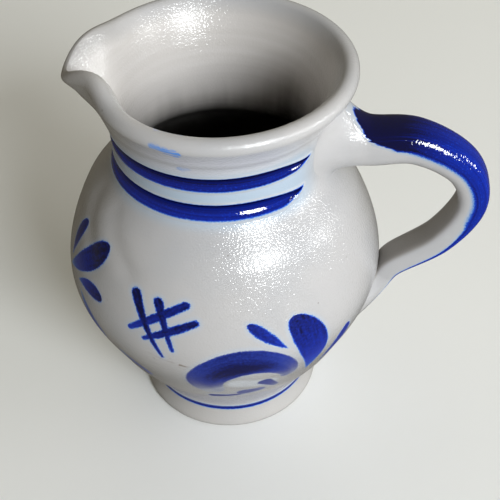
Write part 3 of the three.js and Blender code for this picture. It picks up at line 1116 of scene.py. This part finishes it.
def outerWear(tree, where, tone, ridges):
    height = axes(tree, where)["Z"]
    ragged = raggedEdge(tree, where)
    foot = ranged(tree, height, clay["footFrom"] * mm, clay["footTo"] * mm, 0.0, clay["foot"])
    tone = tinted(tree, foot, tone, glaze["foot"])
    # throwing ridges under the lip, painted lighter as painted light on the neck that the lip shades
    low, full, fading, high = metres(clay["turnedNeck"])
    rising = ranged(tree, height, low, full, 0.0, clay["turned"])
    neck = times(tree, rising, ranged(tree, height, high, fading), ridges)
    tone = tinted(tree, neck, tone, glaze["paintedLightRidge"])
    pale = straightMark(tree, foldedPlace(tree, where), wiped, 0.0)[1]
    tone = tinted(tree, times(tree, pale, clay["wiped"]), tone, glaze["wiped"])
    # painted shade: the flank under the spout, on the side away from the light, is painted duller and warmer
    turn = math.radians(spout["angle"])
    around = vectorMaths(tree, "NORMALIZE", vectorMaths(tree, "MULTIPLY", where, (1, 1, 0)))
    facing = vectorMaths(tree, "DOT_PRODUCT", around, (math.cos(turn), math.sin(turn), 0))
    paintedShadeFlank = ranged(tree, facing, clay["paintedShadeFlankFrom"], 1.0, 0.0, clay["paintedShadeFlank"])
    tone = tinted(tree, paintedShadeFlank, tone, glaze["paintedShadeFlank"])
    turned = spoutPlace(tree, where)
    scored = [straightMark(tree, turned, mark, ragged)[0] for mark in scratches.values()]
    tone = tinted(tree, most(tree, scored), tone, glaze["scratch"])
    wet = [straightMark(tree, turned, mark, ragged)[0] for mark in smudges.values()]
    dry = ranged(tree, grain(tree, stretched(tree, where, clay["dryBrush"]), 1.0, 3, 0.6), 0.36, 0.56)
    return tinted(tree, times(tree, most(tree, wet), dry, outerSide(tree)), tone, glaze["smudge"])


def cobaltOver(tree, tone, paint, halo, slate):
    # pale blue mist and a bright edge where the cobalt ran, then the cobalt
    tone = tinted(tree, times(tree, halo, 0.6), tone, glaze["mist"])
    tone = tinted(tree, ranged(tree, halo, 0.62, 1.0, 0.0, 0.8), tone, glaze["halo"])
    blue = washTone(tree, paint, glaze["cobalt"])
    if isinstance(slate, bpy.types.NodeSocket):
        blue = tinted(tree, ranged(tree, slate, 0.02, 0.1), blue, washTone(tree, paint, glaze["slate"]))
    covered = ranged(tree, paint, 0.01, 0.12)
    return tinted(tree, covered, tone, blue), covered


def innerSlipAndShade(tree, where, tone, ridges):
    # pale slip under the rim, then painted shade that darkens it to nearly black below, starting higher up
    # on the handle's side
    within = note(tree, "within")
    beside = ranged(tree, axes(tree, where)["X"], 0.0, slipAndShade["handleReach"] * mm)
    runs = swung(tree, grain(tree, stretched(tree, where, slipAndShade["runs"]), 1.0, 2))
    runs = times(tree, runs, slipAndShade["runDepth"] * mm)
    sunk = maths(tree, "MULTIPLY_ADD", within, between(tree, beside, 1.0, slipAndShade["handleSide"]), runs)
    pale = tinted(tree, times(tree, ridges, slipAndShade["ridges"]), glaze["inner"], glaze["warm"])
    tone = tinted(tree, ranged(tree, within, 1.0 * mm, slipAndShade["paleTo"] * mm), tone, pale)
    return tinted(tree, ranged(tree, sunk, slipAndShade["darkFrom"] * mm, slipAndShade["darkTo"] * mm), tone, glaze["deep"])


def shadeStrapFace(tree, tone):
    # painted shade on the strap's inner face, and a nearly black painted shadow in the crevice at its lower
    # end
    paintedShade = note(tree, "paintedShade")
    tone = tinted(tree, ranged(tree, paintedShade, 0.35, 0.85, 0.0, 0.75), tone, glaze["paintedShade"])
    return tinted(tree, ranged(tree, paintedShade, 1.0, 1.8, 0.0, 0.85), tone, glaze["deep"])


def skinWeight(tree, findPaint, weight, covered):
    if findPaint is barePaint:
        return weight
    if findPaint is bodyPaint:
        gleam = between(tree, covered, weight, skin["overPaint"] * weight)
        fade = (skin["fadeFrom"] * mm, skin["fadeTo"] * mm, 1.0, skin["faded"])
        return times(tree, gleam, ranged(tree, note(tree, "within"), *fade))
    return ranged(tree, note(tree, "gleam"), 0.1, 0.6, skin["least"], weight)


def saltGlaze(name, findPaint, finish):
    material = bpy.data.materials.new(name)
    material.use_nodes = True
    tree = material.node_tree
    shader = tree.nodes["Principled BSDF"]
    where = addNode(tree, "ShaderNodeTexCoord").outputs["Object"]
    turning = grain(tree, stretched(tree, where, clay["turning"]), 1.0, 2)
    ridges = ranged(tree, turning, 0.35, 0.65)
    paint, halo, tint, slate = findPaint(tree, where)
    tone = greyClay(tree, where, tint)
    if findPaint is bodyPaint:
        tone = outerWear(tree, where, tone, ridges)
    tone, covered = cobaltOver(tree, tone, paint, halo, slate)
    if findPaint is bodyPaint:
        tone = innerSlipAndShade(tree, where, tone, ridges)
    if findPaint is barePaint:
        tone = shadeStrapFace(tree, tone)
    plug(tree, shader.inputs["Base Color"], tone)
    plug(tree, shader.inputs["Coat Weight"], skinWeight(tree, findPaint, finish["weight"], covered))
    shader.inputs["Roughness"].default_value = clay["roughness"]
    shader.inputs["Specular IOR Level"].default_value = finish["glow"]
    shader.inputs["Coat Roughness"].default_value = finish["gloss"]
    shader.inputs["Coat IOR"].default_value = finish["ior"]
    # the clay with its throwing lines lies under the skin, which has the deeper peel
    peel = grain(tree, where, skin["peelScale"], 0.5)
    dimples = times(tree, grain(tree, where, skin["dimpleScale"], 1), skin["dimples"] * mm)
    lines = maths(tree, "MULTIPLY_ADD", turning, skin["turned"] * mm, dimples)
    for socket, amount in (("Normal", skin["underPeel"]), ("Coat Normal", finish["peel"])):
        height = maths(tree, "MULTIPLY_ADD", peel, amount * mm, lines)
        bump = addNode(tree, "ShaderNodeBump", {"Height": height, "Distance": 1.0, "Strength": 1.0})
        plug(tree, shader.inputs[socket], bump.outputs["Normal"])
    return material


bodyGlaze = saltGlaze("body_glaze", bodyPaint, finishes["body"])
handleGlaze = saltGlaze("handle_glaze", barePaint, finishes["handle"])
bandPaint = shorePaint(depths=(1.0, 0.76), swing=0.75, fray=0.0)
bandGlaze = saltGlaze("band_cobalt", bandPaint, finishes["band"])
strapPaint = shorePaint(depths=(1.05, 0.7), swing=0.6, fray=5.0)
strapGlaze = saltGlaze("strap_cobalt", strapPaint, finishes["strap"])
print("glazes mixed")

throwVessel(bodyGlaze)
pullHandle(handleGlaze)
brushCoat(strapGlaze)
layBand("neck_cobalt_upper", bands["upper"], bandGlaze, "neck_band_upper")
layBand("neck_cobalt_lower", bands["lower"], bandGlaze, "neck_band_lower")
layFootLine(bandGlaze)

# floor and light, in metres
studio = {
    "floorSize": 6.0,
    "floorLevel": -0.00005,
    "floorTone": colour(0.77, 0.77, 0.765),
    "floorRoughness": 0.6,
    "backdrop": colour(0.5, 0.5, 0.49),
    "backdropGloss": 0.08,
    "aim": (0, 0, 0.09),
    "far": 2.5,
    # degrees round, degrees up, size, watts and colour of each window
    "windows": {
        "key": (310, 28, (0.95, 0.9), 65.0, (0.95, 0.99, 1.0)),
        "side": (345, 30, (2.0, 1.4), 23.0, (1.0, 1.0, 0.98)),
        "pane": (357, 15, (0.5, 0.45), 14.0, (0.98, 1.0, 1.0)),
        "back": (64, 22, (4.2, 1.8), 29.0, (1.0, 1.0, 0.86)),
        "top": (130, 60, (2.2, 1.6), 8.0, (1.0, 0.96, 0.84)),
    },
    "mirrored": ("key", "pane"),  # only these show in the gloss
    "mirroredOnly": ("pane",),  # and this one lights nothing else
    "roomTone": colour(1, 0.84, 0.5),
    "roomLight": 0.075,
}


def layFloor():
    bpy.ops.object.select_all(action="DESELECT")
    bpy.ops.mesh.primitive_plane_add(size=studio["floorSize"], location=(0, 0, studio["floorLevel"]))
    floor = bpy.context.object
    floor.name = "floor"
    material = bpy.data.materials.new("table_top")
    material.use_nodes = True
    shader = material.node_tree.nodes["Principled BSDF"]
    shader.inputs["Base Color"].default_value = studio["floorTone"]
    shader.inputs["Roughness"].default_value = studio["floorRoughness"]
    floor.data.materials.append(material)
    floor.visible_glossy = False  # the table is kept out of the gloss


def hangWindows():
    for name, (turn, rise, size, watts, tone) in studio["windows"].items():
        turn, rise = math.radians(turn), math.radians(rise)
        way = Vector((math.cos(rise) * math.cos(turn), math.cos(rise) * math.sin(turn), math.sin(rise)))
        bpy.ops.object.light_add(type="AREA", location=Vector(studio["aim"]) + way * studio["far"])
        window = bpy.context.object
        window.name = name + "_window"
        window.rotation_euler = way.to_track_quat("Z", "Y").to_euler()
        window.data.shape = "RECTANGLE"
        window.data.size, window.data.size_y = size
        window.data.energy = watts
        window.data.color = tone
        window.visible_glossy = name in studio["mirrored"]
        window.visible_diffuse = name not in studio["mirroredOnly"]


def fillRoom():
    # a dim warm room, with a pale wall to look at that shows faintly in the gloss
    world = bpy.data.worlds.new("room")
    scene.world = world
    world.use_nodes = True
    tree = world.node_tree
    dim = tree.nodes["Background"]
    dim.inputs["Color"].default_value = studio["roomTone"]
    dim.inputs["Strength"].default_value = studio["roomLight"]
    wall = addNode(tree, "ShaderNodeBackground", {"Color": studio["backdrop"], "Strength": 1.0})
    rays = addNode(tree, "ShaderNodeLightPath").outputs
    seen = maths(tree, "MAXIMUM", rays["Is Camera Ray"], rays["Is Transmission Ray"])
    seen = maths(tree, "MULTIPLY_ADD", rays["Is Glossy Ray"], studio["backdropGloss"], seen)
    room = addNode(tree, "ShaderNodeMixShader", {"Fac": seen})
    plug(tree, room.inputs[1], dim.outputs[0])
    plug(tree, room.inputs[2], wall.outputs[0])
    plug(tree, tree.nodes["World Output"].inputs["Surface"], room.outputs[0])


layFloor()
hangWindows()
fillRoom()
print("room lit")
